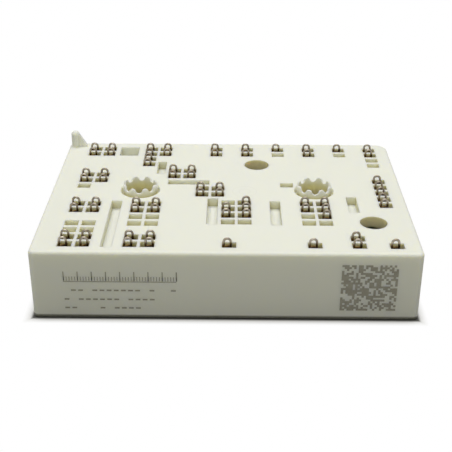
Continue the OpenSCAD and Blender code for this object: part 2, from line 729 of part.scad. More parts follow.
// A contact spring on the tracks: a foot hoop, a coil and a head hoop
module contact_spring() {
    hoop_h = leg_l + spring_d / 2 - hoop_inset;
    coil_z = TRACK_TOP + hoop_h - foot_flat;
    coil_h = housing_h + contact_proud - hoop_h - coil_z;
    translate([0, 0, coil_z]) coil(coil_h);
    translate([0, 0, coil_z + coil_h]) hoop();
    difference() {
        translate([0, 0, coil_z]) mirror([0, 0, 1]) hoop();
        translate([-spring_d, -spring_d, TRACK_TOP - CUT]) cube([2 * spring_d, 2 * spring_d, CUT]);
    }
}

// All the contacts of one group
module contacts(group) {
    color([0.72, 0.7, 0.68])
        for (block = BLOCKS) if (block[0] == group)
            for (s = slots(block, "c"))
                translate([s[0] + s[2] * SPRING_SHIFT, s[1], 0]) contact_spring();
}

housing();
base_copper();
ceramic_plate();
track_input_1();
track_input_2();
track_input_3();
track_rectifier_plus();
track_rectifier_minus();
track_brake();
track_dc_plus();
track_dc_minus();
track_phase_u();
track_phase_v();
track_phase_w();
control_pads();
rectifier_diodes();
igbt_chips();
freewheel_diodes();
temperature_sensor();
power_bond_wires();
gate_bond_wires();
contacts("input_1");  // contacts_input_1
contacts("input_2");  // contacts_input_2
contacts("input_3");  // contacts_input_3
contacts("rectifier_plus");  // contacts_rectifier_plus
contacts("rectifier_minus");  // contacts_rectifier_minus
contacts("brake");  // contacts_brake
contacts("brake_gate");  // contacts_brake_gate
contacts("brake_minus");  // contacts_brake_minus
contacts("dc_plus");  // contacts_dc_plus
contacts("dc_minus");  // contacts_dc_minus
contacts("phase_u");  // contacts_phase_u
contacts("phase_v");  // contacts_phase_v
contacts("phase_w");  // contacts_phase_w
contacts("gates_high");  // contacts_gates_high
contacts("gates_low");  // contacts_gates_low
contacts("sensor");  // contacts_sensor
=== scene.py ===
# %% [markdown]
# # A spring-contact power module
#
# The real object is a flat power-electronics block. A moulded ivory housing
# stands on a copper and ceramic plate, and dozens of small wire springs look
# out of rectangular shafts in its top. This lesson loads the solids that a CAD
# program made, gives each of them a finish, and replaces the plain springs by
# ones bent from a real wire path.

# %% Load the frame
import json
import math

import bpy
from mathutils import Matrix, Vector


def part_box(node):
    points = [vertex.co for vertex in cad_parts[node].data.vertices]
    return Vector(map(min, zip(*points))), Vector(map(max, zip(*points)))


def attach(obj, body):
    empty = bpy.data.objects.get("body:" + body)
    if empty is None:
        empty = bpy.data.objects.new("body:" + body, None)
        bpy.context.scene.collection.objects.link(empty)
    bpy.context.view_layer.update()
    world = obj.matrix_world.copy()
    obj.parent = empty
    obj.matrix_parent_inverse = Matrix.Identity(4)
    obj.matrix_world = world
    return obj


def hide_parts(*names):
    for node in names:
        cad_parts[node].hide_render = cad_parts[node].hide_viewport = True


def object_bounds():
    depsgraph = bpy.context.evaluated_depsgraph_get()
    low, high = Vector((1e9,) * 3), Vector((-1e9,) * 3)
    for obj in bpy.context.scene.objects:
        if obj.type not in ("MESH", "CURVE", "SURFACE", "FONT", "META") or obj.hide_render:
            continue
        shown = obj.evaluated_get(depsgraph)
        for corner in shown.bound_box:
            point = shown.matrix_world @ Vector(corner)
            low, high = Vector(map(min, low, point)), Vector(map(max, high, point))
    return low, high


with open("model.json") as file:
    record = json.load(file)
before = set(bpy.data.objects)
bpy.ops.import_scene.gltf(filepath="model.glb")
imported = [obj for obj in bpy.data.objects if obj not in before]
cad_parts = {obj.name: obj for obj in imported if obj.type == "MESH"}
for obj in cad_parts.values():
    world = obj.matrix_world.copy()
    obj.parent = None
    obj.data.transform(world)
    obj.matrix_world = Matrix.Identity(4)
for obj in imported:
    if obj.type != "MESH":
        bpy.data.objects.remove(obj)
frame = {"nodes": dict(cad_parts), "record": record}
nodes = frame["nodes"]
cad_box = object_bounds()
MM = 0.001
print("frame:", len(nodes), "nodes; size in mm", [round((h - l) / MM, 2) for l, h in zip(*cad_box)])

# %% [markdown]
# ## Camera
#
# A portrait lens from a short distance keeps the edges of the block nearly
# parallel. The camera looks down at a good quarter of a right angle, almost
# square to the long marked face. Its turn is given as three small angles, in
# the order a photographer sets them: heading, tilt and roll.

# %% Camera
CAMERA_PLACE = Vector((1.2, -197.25, 109.45)) * MM
CAMERA_HEADING = math.radians(-0.41)
CAMERA_TILT = math.radians(27.44)
CAMERA_ROLL = math.radians(0.24)
CAMERA_LENS = 74.45

ahead = Vector((
    math.sin(CAMERA_HEADING) * math.cos(CAMERA_TILT),
    math.cos(CAMERA_HEADING) * math.cos(CAMERA_TILT),
    -math.sin(CAMERA_TILT),
))
across = Vector((math.cos(CAMERA_HEADING), -math.sin(CAMERA_HEADING), 0.0))
upward = across.cross(ahead)
camera_x = math.cos(CAMERA_ROLL) * across + math.sin(CAMERA_ROLL) * upward
camera_y = math.cos(CAMERA_ROLL) * upward - math.sin(CAMERA_ROLL) * across

camera_data = bpy.data.cameras.new("camera")
camera_data.lens = CAMERA_LENS
camera_data.sensor_width = 36.0
camera_data.clip_start = 0.01
camera_data.clip_end = 20.0
camera = bpy.data.objects.new("camera", camera_data)
camera.matrix_world = (
    Matrix.Translation(CAMERA_PLACE)
    @ Matrix((camera_x, camera_y, -ahead)).transposed().to_4x4()
)
bpy.context.scene.collection.objects.link(camera)
bpy.context.scene.camera = camera
print("camera: %.1f mm lens, %.0f mm from the middle" % (CAMERA_LENS, CAMERA_PLACE.length / MM))

# %% [markdown]
# ## Small helpers for node trees
#
# Shader trees and geometry trees are wired in the same way, so a few short
# helpers make a node, set its inputs and join it to others. They keep the
# recipes below close to how one would say them aloud.

# %% Node helpers
def add_node(tree, kind, links=None, **settings):
    """Makes a node; links maps an input to a socket or a plain value."""
    node = tree.nodes.new(kind)
    for name, value in settings.items():
        setattr(node, name, value)
    for key, value in (links or {}).items():
        if isinstance(value, bpy.types.NodeSocket):
            tree.links.new(value, node.inputs[key])
        else:
            node.inputs[key].default_value = value
    return node


def math_node(tree, operation, *values, clamp=False):
    """A Math node on two or three values; returns its output."""
    links = dict(enumerate(values))
    return add_node(tree, "ShaderNodeMath", links, operation=operation, use_clamp=clamp).outputs[0]


def product(tree, *values):
    """Multiplies two or more values."""
    result = values[0]
    for value in values[1:]:
        result = math_node(tree, "MULTIPLY", result, value)
    return result


def coordinates(tree, vector):
    """The X, Y and Z of a vector, as the outputs of one node."""
    return add_node(tree, "ShaderNodeSeparateXYZ", {"Vector": vector}).outputs


def object_coordinates(tree):
    """Where a spot lies in the piece's own space."""
    return add_node(tree, "ShaderNodeTexCoord").outputs["Object"]


def ramp(tree, value, low, high):
    """Fades from 0 to 1 while the value goes from low to high."""
    node = add_node(tree, "ShaderNodeMapRange", {"Value": value}, interpolation_type="SMOOTHSTEP")
    node.inputs["From Min"].default_value = low
    node.inputs["From Max"].default_value = high
    return node.outputs["Result"]


def blend_colors(tree, fac, a, b, mode="MIX"):
    """Mixes two colours; each is a socket or a plain colour."""
    node = add_node(tree, "ShaderNodeMix", data_type="RGBA", blend_type=mode)
    for key, value in ((0, fac), (6, a), (7, b)):
        if isinstance(value, bpy.types.NodeSocket):
            tree.links.new(value, node.inputs[key])
        else:
            node.inputs[key].default_value = value if key == 0 else (*value, 1.0)
    return node.outputs[2]


def new_material(name):
    """An empty material; returns it, its tree and its Principled shader."""
    material = bpy.data.materials.new(name)
    material.use_nodes = True
    return material, material.node_tree, material.node_tree.nodes["Principled BSDF"]


def new_group(name, inputs, outputs):
    """A shader node group with named sockets; returns it and its two ends."""
    group = bpy.data.node_groups.new(name, "ShaderNodeTree")
    for label, kind, value in inputs:
        socket = group.interface.new_socket(label, in_out="INPUT", socket_type=kind)
        if value is not None:
            socket.default_value = value
    for label, kind in outputs:
        group.interface.new_socket(label, in_out="OUTPUT", socket_type=kind)
    return group, group.nodes.new("NodeGroupInput"), group.nodes.new("NodeGroupOutput")


def place_group(tree, group, **values):
    """Puts a group in a material and sets its inputs by name."""
    node = tree.nodes.new("ShaderNodeGroup")
    node.node_tree = group
    for label, value in values.items():
        socket = node.inputs[label.replace("_", " ")]
        if isinstance(value, bpy.types.NodeSocket):
            tree.links.new(value, socket)
        else:
            socket.default_value = value
    return node


# %% [markdown]
# ## Shared effects
#
# Every finish here needs the same two things: a fine grain that breaks up the
# highlights, and a slow drift of tone that keeps a large face from looking
# painted. One group gives both. A second group scatters sparse specks, the dust
# and handling marks that any used part picks up.

# %% Grain group
FLOAT = "NodeSocketFloat"
grain_group, grain_in, grain_out = new_group(
    "grain",
    [("Vector", "NodeSocketVector", None), ("Grain Size", FLOAT, 0.0003), ("Drift Size", FLOAT, 0.02)],
    [("Grain", FLOAT), ("Drift", FLOAT)],
)
for label, size, detail in (("Grain", "Grain Size", 3.0), ("Drift", "Drift Size", 2.0)):
    scale = math_node(grain_group, "DIVIDE", 1.0, grain_in.outputs[size])
    noise = add_node(grain_group, "ShaderNodeTexNoise", {
        "Vector": grain_in.outputs["Vector"], "Scale": scale, "Detail": detail, "Roughness": 0.6,
    })
    grain_group.links.new(noise.outputs["Fac"], grain_out.inputs[label])

# %% Specks group
specks_group, specks_in, specks_out = new_group(
    "specks",
    [
        ("Vector", "NodeSocketVector", None), ("Spacing", FLOAT, 0.006),
        ("Size", FLOAT, 0.0002), ("Share", FLOAT, 0.3),
    ],
    [("Mask", FLOAT)],
)
cells = add_node(specks_group, "ShaderNodeTexVoronoi", {
    "Vector": specks_in.outputs["Vector"],
    "Scale": math_node(specks_group, "DIVIDE", 1.0, specks_in.outputs["Spacing"]),
})
reach = math_node(specks_group, "DIVIDE", specks_in.outputs["Size"], specks_in.outputs["Spacing"])
inside = math_node(specks_group, "LESS_THAN", cells.outputs["Distance"], reach)
pick = add_node(specks_group, "ShaderNodeSeparateColor", {"Color": cells.outputs["Color"]})
chosen = math_node(specks_group, "LESS_THAN", pick.outputs["Red"], specks_in.outputs["Share"])
specks_group.links.new(math_node(specks_group, "MULTIPLY", inside, chosen), specks_out.inputs["Mask"])
print("groups:", [g.name for g in bpy.data.node_groups])

# %% [markdown]
# ## Housing plastic
#
# The housing is moulded from an ivory plastic, filled with glass fibre: matt,
# a little warm, and slightly lighter where tools have rubbed it. Light that
# enters a shaft bounces from wall to wall and takes on the plastic's own
# yellow; this is painted into the colour as a warmer, darker shade the more a
# wall is shut in, and the same painted shade goes on the toothed crowns round
# the screws and into the round holes. An Ambient Occlusion node measures how
# shut in a spot is. The lowest edge is painted darker as shade, and a little
# light spreads inside the plastic and softens its edges.

# %% Housing plastic: sizes and tones
housing_low, housing_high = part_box("housing")
mounts = {mount["name"]: mount for mount in frame["record"]["mounts"]}
TOP_FACE_Z = mounts["board_face"]["pos_m"][2]
SCREW_X = mounts["screw_holes"]["dims"]["spacing_x_mm"] / 2 * MM
SCREW_Y = mounts["screw_holes"]["pos_m"][1]
CROWN_R = 4.0 * MM
GROOVE_R = CROWN_R + 0.45 * MM
OUTER_WALL = 1.0 * MM
IVORY = (0.80, 0.812, 0.728)
IVORY_RUBBED = (0.84, 0.845, 0.765)
# Painted shade: the four tints below darken and warm shut-in walls, round holes, the lowest edge and the
# crowns.
RECESS_SHADE_TINT = (0.80, 0.74, 0.46)
PORT_SHADE_TINT = (0.94, 0.88, 0.66)
LOW_EDGE_SHADE_TINT = (0.22, 0.22, 0.19)
CROWN_SHADE_TINT = (0.92, 0.86, 0.62)
print("top face at %.1f mm, screws at x = %.1f mm" % (TOP_FACE_Z / MM, SCREW_X / MM))

# %% Housing plastic: where the painted shade goes
plastic, tree, shader = new_material("ivory_plastic")
place = object_coordinates(tree)
grain = place_group(tree, grain_group, Vector=place, Grain_Size=0.00018, Drift_Size=0.03)
specks = place_group(tree, specks_group, Vector=place, Spacing=0.0075, Size=0.00011, Share=0.25)
xyz = coordinates(tree, place)
facing = coordinates(tree, add_node(tree, "ShaderNodeNewGeometry").outputs["Normal"])
across_x = math_node(tree, "ABSOLUTE", xyz["X"])
across_y = math_node(tree, "ABSOLUTE", xyz["Y"])
upright = math_node(tree, "SUBTRACT", 1.0, math_node(tree, "ABSOLUTE", facing["Z"]))


def from_axis(x_socket, x, y):
    """The distance of a spot to the upright axis through x and y."""
    off_x = math_node(tree, "SUBTRACT", x_socket, x)
    off_y = math_node(tree, "SUBTRACT", xyz["Y"], y)
    squares = math_node(tree, "ADD", product(tree, off_x, off_x), product(tree, off_y, off_y))
    return math_node(tree, "SQRT", squares)


# Painted shade on the crowns, and the grooves round them kept free of the recess shade
from_screw = from_axis(across_x, SCREW_X, SCREW_Y)
at_crown = ramp(tree, from_screw, CROWN_R + 0.5 * MM, CROWN_R + 0.1 * MM)
below_rim = ramp(tree, xyz["Z"], TOP_FACE_Z + 1.7 * MM, TOP_FACE_Z - 0.8 * MM)
crown_shade = product(tree, at_crown, below_rim, upright)
from_groove = math_node(tree, "ABSOLUTE", math_node(tree, "SUBTRACT", from_screw, GROOVE_R))
off_groove = ramp(tree, from_groove, 0.30 * MM, 0.55 * MM)

# Painted shade in shafts, slots and pockets, but not on the outer faces
openness = add_node(tree, "ShaderNodeAmbientOcclusion", {"Distance": 4.0 * MM}, samples=8).outputs["AO"]
shut_in = ramp(tree, openness, 0.45, 0.10)
deep = product(tree, ramp(tree, xyz["Z"], TOP_FACE_Z - 0.3 * MM, TOP_FACE_Z - 6.0 * MM), 0.5)
indoors = ramp(tree, xyz["Z"], TOP_FACE_Z + 0.05 * MM, TOP_FACE_Z - 0.15 * MM)
from_end = math_node(tree, "SUBTRACT", housing_high[0] - OUTER_WALL, across_x)
from_side = math_node(tree, "SUBTRACT", housing_high[1] - OUTER_WALL, across_y)
inside_walls = math_node(tree, "GREATER_THAN", math_node(tree, "MINIMUM", from_end, from_side), 0.0)
most_shut = math_node(tree, "MAXIMUM", shut_in, deep)
recess_shade = product(tree, most_shut, upright, indoors, inside_walls, off_groove)

# Painted shade in round holes, and painted shade along the lowest edge
port_shade = 0.0
for mount in mounts.values():
    if mount["kind"] == "bore":
        port_r = mount["dims"]["r_mm"] * MM
        from_port = from_axis(xyz["X"], *mount["pos_m"][:2])
        in_port = ramp(tree, from_port, port_r + 0.4 * MM, port_r + 0.1 * MM)
        port_shade = math_node(tree, "MAXIMUM", port_shade, in_port)
port_shade = product(tree, port_shade, upright, indoors)
low_edge_shade = ramp(tree, xyz["Z"], housing_low[2] + 0.80 * MM, housing_low[2] + 0.30 * MM)

# %% Housing plastic: tones, light and surface
tone = blend_colors(tree, math_node(tree, "MULTIPLY", grain.outputs["Drift"], 0.35), IVORY, IVORY_RUBBED)
# Painted shade: the next four tints darken shut-in walls, crowns, round holes and the lowest edge.
tone = blend_colors(tree, recess_shade, tone, RECESS_SHADE_TINT, "MULTIPLY")
tone = blend_colors(tree, crown_shade, tone, CROWN_SHADE_TINT, "MULTIPLY")
tone = blend_colors(tree, port_shade, tone, PORT_SHADE_TINT, "MULTIPLY")
tone = blend_colors(tree, low_edge_shade, tone, LOW_EDGE_SHADE_TINT, "MULTIPLY")
tone = blend_colors(tree, math_node(tree, "MULTIPLY", specks.outputs["Mask"], 0.4), tone, (0.32, 0.29, 0.24))
tree.links.new(tone, shader.inputs["Base Color"])
rough = add_node(tree, "ShaderNodeMapRange", {"Value": grain.outputs["Drift"], "To Min": 0.48, "To Max": 0.6})
tree.links.new(rough.outputs["Result"], shader.inputs["Roughness"])
shader.inputs["IOR"].default_value = 1.47
shader.inputs["Subsurface Weight"].default_value = 0.8
shader.inputs["Subsurface Radius"].default_value = (1.0, 0.95, 0.7)
shader.inputs["Subsurface Scale"].default_value = 1.7 * MM
soft_edge = add_node(tree, "ShaderNodeBevel", {"Radius": 0.18 * MM}, samples=6)
bump = add_node(tree, "ShaderNodeBump", {
    "Height": grain.outputs["Grain"], "Strength": 0.25, "Distance": 0.02 * MM,
    "Normal": soft_edge.outputs["Normal"],
})
tree.links.new(bump.outputs["Normal"], shader.inputs["Normal"])

# %% Mould marks on the top face
RING_X, RING_Y = 4.1 * MM, 0.3 * MM
RING_RADII = (2.8 * MM, 1.3 * MM)
SEAM_INSET = 1.25 * MM
from_ring = from_axis(xyz["X"], RING_X, RING_Y)
seam = math_node(tree, "SUBTRACT", xyz["Y"], housing_low[1] + SEAM_INSET)
lines = [math_node(tree, "SUBTRACT", from_ring, radius) for radius in RING_RADII] + [seam]
marks = 0.0
for line in lines:
    near_line = ramp(tree, math_node(tree, "ABSOLUTE", line), 0.16 * MM, 0.04 * MM)
    marks = math_node(tree, "MAXIMUM", marks, near_line)
on_top = math_node(tree, "GREATER_THAN", xyz["Z"], TOP_FACE_Z - 0.02 * MM)
marks = product(tree, marks, on_top, 0.5)
marked = blend_colors(tree, marks, tone, (0.93, 0.925, 0.91), "MULTIPLY")
tree.links.new(marked, shader.inputs["Base Color"])
print("mould marks:", len(lines))

# %% [markdown]
# ## Metals, ceramic and silicon
#
# The spring wire is plated with silver that has started to tarnish. The plate
# underneath is bare copper bonded to white ceramic, and the sealed chips are
# silicon with a metal face. They differ in few numbers, so one function makes
# them all: a tone, a darker tone that the drift lets through, and a roughness.

# %% Metal, ceramic and silicon finishes
def plain_finish(name, tone_a, tone_b, metallic, roughness, grain_size, drift_size, bump_mm):
    material, tree, shader = new_material(name)
    place = add_node(tree, "ShaderNodeTexCoord").outputs["Object"]
    grain = place_group(tree, grain_group, Vector=place, Grain_Size=grain_size, Drift_Size=drift_size)
    patch = ramp(tree, grain.outputs["Drift"], 0.35, 0.7)
    tree.links.new(blend_colors(tree, patch, tone_a, tone_b), shader.inputs["Base Color"])
    spread = add_node(tree, "ShaderNodeMapRange", {
        "Value": grain.outputs["Grain"], "To Min": roughness * 0.8, "To Max": roughness * 1.25,
    })
    tree.links.new(spread.outputs["Result"], shader.inputs["Roughness"])
    shader.inputs["Metallic"].default_value = metallic
    bump = add_node(tree, "ShaderNodeBump", {
        "Height": grain.outputs["Grain"], "Strength": 0.3, "Distance": bump_mm * MM,
    })
    tree.links.new(bump.outputs["Normal"], shader.inputs["Normal"])
    return material


finishes = {
    "contact_wire": plain_finish(
        "silver_plated_wire", (0.58, 0.52, 0.45), (0.38, 0.32, 0.25), 1.0, 0.42, 2e-4, 1.6e-3, 0.006),
    "copper": plain_finish(
        "bonded_copper", (0.80, 0.46, 0.32), (0.62, 0.33, 0.22), 1.0, 0.38, 3e-4, 9e-3, 0.01),
    "ceramic": plain_finish(
        "fired_alumina", (0.82, 0.82, 0.79), (0.76, 0.76, 0.72), 0.0, 0.5, 1.5e-4, 8e-3, 0.006),
    "silicon": plain_finish(
        "metallised_silicon", (0.42, 0.43, 0.46), (0.34, 0.35, 0.38), 0.7, 0.25, 4e-4, 4e-3, 0.003),
    "sensor_body": plain_finish(
        "glazed_thermistor", (0.06, 0.06, 0.065), (0.04, 0.04, 0.045), 0.0, 0.3, 2e-4, 2e-3, 0.004),
    "bond_wire": plain_finish(
        "drawn_aluminium", (0.82, 0.82, 0.83), (0.70, 0.70, 0.72), 1.0, 0.3, 2e-4, 3e-3, 0.004),
    "housing_plastic": plastic,
}

# Painted darker and browner where the wire stands in a shaft: partly tarnish of the plating, partly painted
# shade
TARNISH_AND_SHADE = (0.30, 0.21, 0.10)
tree = finishes["contact_wire"].node_tree
shader = tree.nodes["Principled BSDF"]
clean_tone = shader.inputs["Base Color"].links[0].from_socket
height = coordinates(tree, object_coordinates(tree))["Z"]
tarnish_and_shade = ramp(tree, height, TOP_FACE_Z + 1.2 * MM, TOP_FACE_Z - 0.1 * MM)
tree.links.new(blend_colors(tree, tarnish_and_shade, clean_tone, TARNISH_AND_SHADE, "MULTIPLY"), shader.inputs["Base Color"])

for part in frame["record"]["subparts"]:
    mesh = nodes[part["node"]].data
    mesh.materials.clear()
    mesh.materials.append(finishes[part["material_slot"]])
print("finishes:", sorted(finishes))

# %% [markdown]
# ## The last trough of each crown
#
# Each crown has eight troughs between its teeth, but the solid that came from
# CAD has only seven: one got lost on the way. A Geometry Nodes modifier cuts the
# eighth, so the mesh underneath stays as it was. The round cutter has the radius
# at which a tooth and a trough meet smoothly at half their height.

# %% Cut the eighth trough
CROWN_WALL = 0.5 * MM
CROWN_PEAK = 1.75 * MM
CROWN_TROUGH = 0.7 * MM
CROWN_TEETH = 8
half_wave = math.pi * (2 * CROWN_R - CROWN_WALL) / CROWN_TEETH / 2
lean = 2 * math.atan((CROWN_PEAK - CROWN_TROUGH) / half_wave)
wave_r = half_wave / (2 * math.sin(lean))
cut_l = 4 * CROWN_WALL

trough_tree = bpy.data.node_groups.new("crown_trough", "GeometryNodeTree")
trough_tree.interface.new_socket("Geometry", in_out="INPUT", socket_type="NodeSocketGeometry")
trough_tree.interface.new_socket("Geometry", in_out="OUTPUT", socket_type="NodeSocketGeometry")
trough_in = trough_tree.nodes.new("NodeGroupInput")
closed_mesh = add_node(trough_tree, "GeometryNodeMergeByDistance", {
    "Geometry": trough_in.outputs[0], "Distance": 1e-7,
})
peg = add_node(trough_tree, "GeometryNodeMeshCylinder", {"Vertices": 48, "Radius": wave_r, "Depth": cut_l})
cut = add_node(trough_tree, "GeometryNodeMeshBoolean", operation="DIFFERENCE", solver="EXACT")
trough_tree.links.new(closed_mesh.outputs[0], cut.inputs["Mesh 1"])
for side in (-1, 1):
    diagonal = (CROWN_R - CROWN_WALL / 2) * math.sqrt(0.5)
    set_in = add_node(trough_tree, "GeometryNodeTransform", {
        "Geometry": peg.outputs["Mesh"],
        "Translation": (side * SCREW_X + diagonal, SCREW_Y + diagonal, TOP_FACE_Z + CROWN_TROUGH + wave_r),
        "Rotation": (0.0, math.radians(90), math.radians(45)),
    })
    trough_tree.links.new(set_in.outputs[0], cut.inputs["Mesh 2"])
rounded = add_node(trough_tree, "GeometryNodeSetShadeSmooth", {
    "Geometry": cut.outputs["Mesh"], "Shade Smooth": True,
}, domain="FACE")
edge_angle = add_node(trough_tree, "GeometryNodeInputMeshEdgeAngle").outputs["Unsigned Angle"]
is_sharp = math_node(trough_tree, "GREATER_THAN", edge_angle, math.radians(28))
creased = add_node(trough_tree, "GeometryNodeSetShadeSmooth", {
    "Geometry": rounded.outputs[0], "Selection": is_sharp, "Shade Smooth": False,
}, domain="EDGE")
trough_tree.links.new(creased.outputs[0], trough_tree.nodes.new("NodeGroupOutput").inputs[0])
nodes["housing"].modifiers.new("eighth_trough", "NODES").node_group = trough_tree
print("cutter radius %.2f mm, %.1f mm long" % (wave_r / MM, cut_l / MM))

# %% [markdown]
# ## Contact springs
#
# Each contact is one length of wire: a hoop that the circuit board presses, a
# coil, and a second hoop that stands on the copper. The CAD solid has a sleeve
# in place of the coil, so here the true wire replaces it. The path of one wire
# is worked out point by point. Geometry Nodes then sweep a round section along
# it and set a copy at each place, which is less work than 68 separate curves
# and keeps every spring alike. The places are read from the CAD solids: the
# highest points of a group are the tops of its hoops.

# %% Where the springs stand
spring_nodes = [p["node"] for p in frame["record"]["subparts"] if p["material_slot"] == "contact_wire"]


def spring_places(node):
    """The x and y of each spring of a group, from the tops of its hoops."""
    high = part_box(node)[1][2]
    places = []
    for vertex in nodes[node].data.vertices:
        if vertex.co.z < high - 0.05 * MM:
            continue
        spot = Vector((vertex.co.x, vertex.co.y))
        near = [p for p in places if (p[0] / p[1] - spot).length < 1.0 * MM]
        if near:
            near[0][0] += spot
            near[0][1] += 1
        else:
            places.append([spot, 1])
    return [total / count for total, count in places]


places = {node: spring_places(node) for node in spring_nodes}
print("springs:", sum(len(p) for p in places.values()), "in", len(places), "groups")

# %% The path of one wire
WIRE_D = 0.5 * MM
SPRING_D = 2.0 * MM
LEG = 1.35 * MM
CLOSED_TURNS = 3
OPEN_TURNS = 7
STEPS_PER_TURN = 14
HOOP_STEPS = 12
spring_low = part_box(spring_nodes[0])[0][2]
spring_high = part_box(spring_nodes[0])[1][2]


def wire_path():
    """Points of one contact, from the loose end of its head to the loose end of its foot."""
    bend = (SPRING_D - WIRE_D) / 2
    head_z = spring_high - SPRING_D / 2
    foot_z = spring_low + SPRING_D / 2
    coil_top = head_z - LEG
    coil_low = foot_z + LEG
    closed = CLOSED_TURNS * WIRE_D
    turns = 2 * CLOSED_TURNS + OPEN_TURNS + 0.5
    tuck = 0.1 * MM
    points = [(-bend, 0.0, coil_top - tuck)]
    for k in range(HOOP_STEPS + 1):
        a = math.pi * (1 - k / HOOP_STEPS)
        points.append((bend * math.cos(a), 0.0, head_z + bend * math.sin(a)))
    steps = round(turns * STEPS_PER_TURN)
    for k in range(steps + 1):
        turn = turns * k / steps
        if turn < CLOSED_TURNS:
            drop = turn * WIRE_D
        elif turn > turns - CLOSED_TURNS:
            drop = coil_top - coil_low - (turns - turn) * WIRE_D
        else:
            share = (turn - CLOSED_TURNS) / (turns - 2 * CLOSED_TURNS)
            drop = closed + share * (coil_top - coil_low - 2 * closed)
        a = 2 * math.pi * turn
        points.append((bend * math.cos(a), bend * math.sin(a), coil_top - drop))
    for k in range(HOOP_STEPS + 1):
        a = math.pi * k / HOOP_STEPS
        points.append((-bend * math.cos(a), 0.0, foot_z - bend * math.sin(a)))
    points.append((bend, 0.0, coil_low + tuck))
    return points


wire_curve = bpy.data.curves.new("wire_path", "CURVE")
wire_curve.dimensions = "3D"
spline = wire_curve.splines.new("POLY")
path_points = wire_path()
spline.points.add(len(path_points) - 1)
for point, place_xyz in zip(spline.points, path_points):
    point.co = (*place_xyz, 1.0)
wire_object = bpy.data.objects.new("wire_path", wire_curve)
print("wire path:", len(path_points), "points")


# %% Geometry Nodes for the springs
def new_geometry_tree(name, inputs):
    """A geometry tree with named inputs; returns it and its two ends."""
    tree = bpy.data.node_groups.new(name, "GeometryNodeTree")
    tree.interface.new_socket("Geometry", in_out="INPUT", socket_type="NodeSocketGeometry")
    for label, kind, value in inputs:
        socket = tree.interface.new_socket(label, in_out="INPUT", socket_type=kind)
        if value is not None:
            socket.default_value = value
    tree.interface.new_socket("Geometry", in_out="OUTPUT", socket_type="NodeSocketGeometry")
    return tree, tree.nodes.new("NodeGroupInput"), tree.nodes.new("NodeGroupOutput")


def finish_tree(tree, geometry, material_socket, out, smooth):
    """Realises the copies, sets shading and material, and ends the tree."""
    real = add_node(tree, "GeometryNodeRealizeInstances", {"Geometry": geometry})
    shade = add_node(tree, "GeometryNodeSetShadeSmooth", {
        "Geometry": real.outputs[0], "Shade Smooth": smooth,
    })
    painted = add_node(tree, "GeometryNodeSetMaterial", {
        "Geometry": shade.outputs[0], "Material": material_socket,
    })
    tree.links.new(painted.outputs[0], out.inputs[0])


def grow(name, tree, base_mesh, values):
    """Runs a geometry tree on a mesh and returns the result as a plain piece."""
    seed = bpy.data.objects.new(name + "_seed", base_mesh)
    bpy.context.scene.collection.objects.link(seed)
    modifier = seed.modifiers.new("grow", "NODES")
    modifier.node_group = tree
    sockets = {s.name: s.identifier for s in tree.interface.items_tree if s.in_out == "INPUT"}
    for label, value in values.items():
        modifier[sockets[label]] = value
    seed.update_tag()
    bpy.context.view_layer.update()
    graph = bpy.context.evaluated_depsgraph_get()
    mesh = bpy.data.meshes.new_from_object(seed.evaluated_get(graph), depsgraph=graph)
    seed.modifiers.remove(modifier)
    bpy.data.objects.remove(seed)
    mesh.name = name
    piece = bpy.data.objects.new(name, mesh)
    bpy.context.scene.collection.objects.link(piece)
    return piece


spring_tree, ends_in, ends_out = new_geometry_tree("springs", [
    ("Wire Path", "NodeSocketObject", None),
    ("Wire Diameter", FLOAT, WIRE_D),
    ("Sides", "NodeSocketInt", 10),
    ("Turn", FLOAT, 0.1),
    ("Seed", "NodeSocketInt", 1),
    ("Material", "NodeSocketMaterial", None),
])
path = add_node(spring_tree, "GeometryNodeObjectInfo", {"Object": ends_in.outputs["Wire Path"]})
section = add_node(spring_tree, "GeometryNodeCurvePrimitiveCircle", {
    "Resolution": ends_in.outputs["Sides"],
    "Radius": math_node(spring_tree, "DIVIDE", ends_in.outputs["Wire Diameter"], 2.0),
})
swept = add_node(spring_tree, "GeometryNodeCurveToMesh", {
    "Curve": path.outputs["Geometry"], "Profile Curve": section.outputs["Curve"], "Fill Caps": True,
})
turn = add_node(spring_tree, "FunctionNodeRandomValue", {
    2: math_node(spring_tree, "MULTIPLY", ends_in.outputs["Turn"], -1.0), 3: ends_in.outputs["Turn"],
    "Seed": ends_in.outputs["Seed"],
}, data_type="FLOAT")
stood = add_node(spring_tree, "GeometryNodeInstanceOnPoints", {
    "Points": ends_in.outputs["Geometry"], "Instance": swept.outputs["Mesh"],
    "Rotation": add_node(spring_tree, "ShaderNodeCombineXYZ", {"Z": turn.outputs[1]}).outputs[0],
})
finish_tree(spring_tree, stood.outputs["Instances"], ends_in.outputs["Material"], ends_out, True)

# %% Stand the springs in their shafts
for seed, (node, spots) in enumerate(places.items()):
    seed_mesh = bpy.data.meshes.new(node)
    seed_mesh.from_pydata([(s.x, s.y, 0.0) for s in spots], [], [])
    piece = grow("springs_" + node.replace("contacts_", ""), spring_tree, seed_mesh, {
        "Wire Path": wire_object, "Wire Diameter": WIRE_D, "Sides": 10, "Turn": math.radians(6), "Seed": seed,
        "Material": finishes["contact_wire"],
    })
    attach(piece, "root")
    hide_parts(node)
print("one group has", len(piece.data.polygons), "faces")

# %% [markdown]
# ## Laser marks
#
# A laser writes on the long front face. The real marks are replaced by plain
# ones that say nothing: a ruled scale with ticks, three rows of dashes, and a
# square of random cells. All are thin tiles that stand a hair's breadth proud,
# because a tile keeps its edges sharp at any distance. A grid of points, thinned
# out at random, tells Geometry Nodes where to set the tiles.

# %% Mark finishes
marks_dark = plain_finish(
    "laser_dark", (0.29, 0.275, 0.22), (0.35, 0.335, 0.27), 0.0, 0.6, 1.2e-4, 1.2e-3, 0.004)

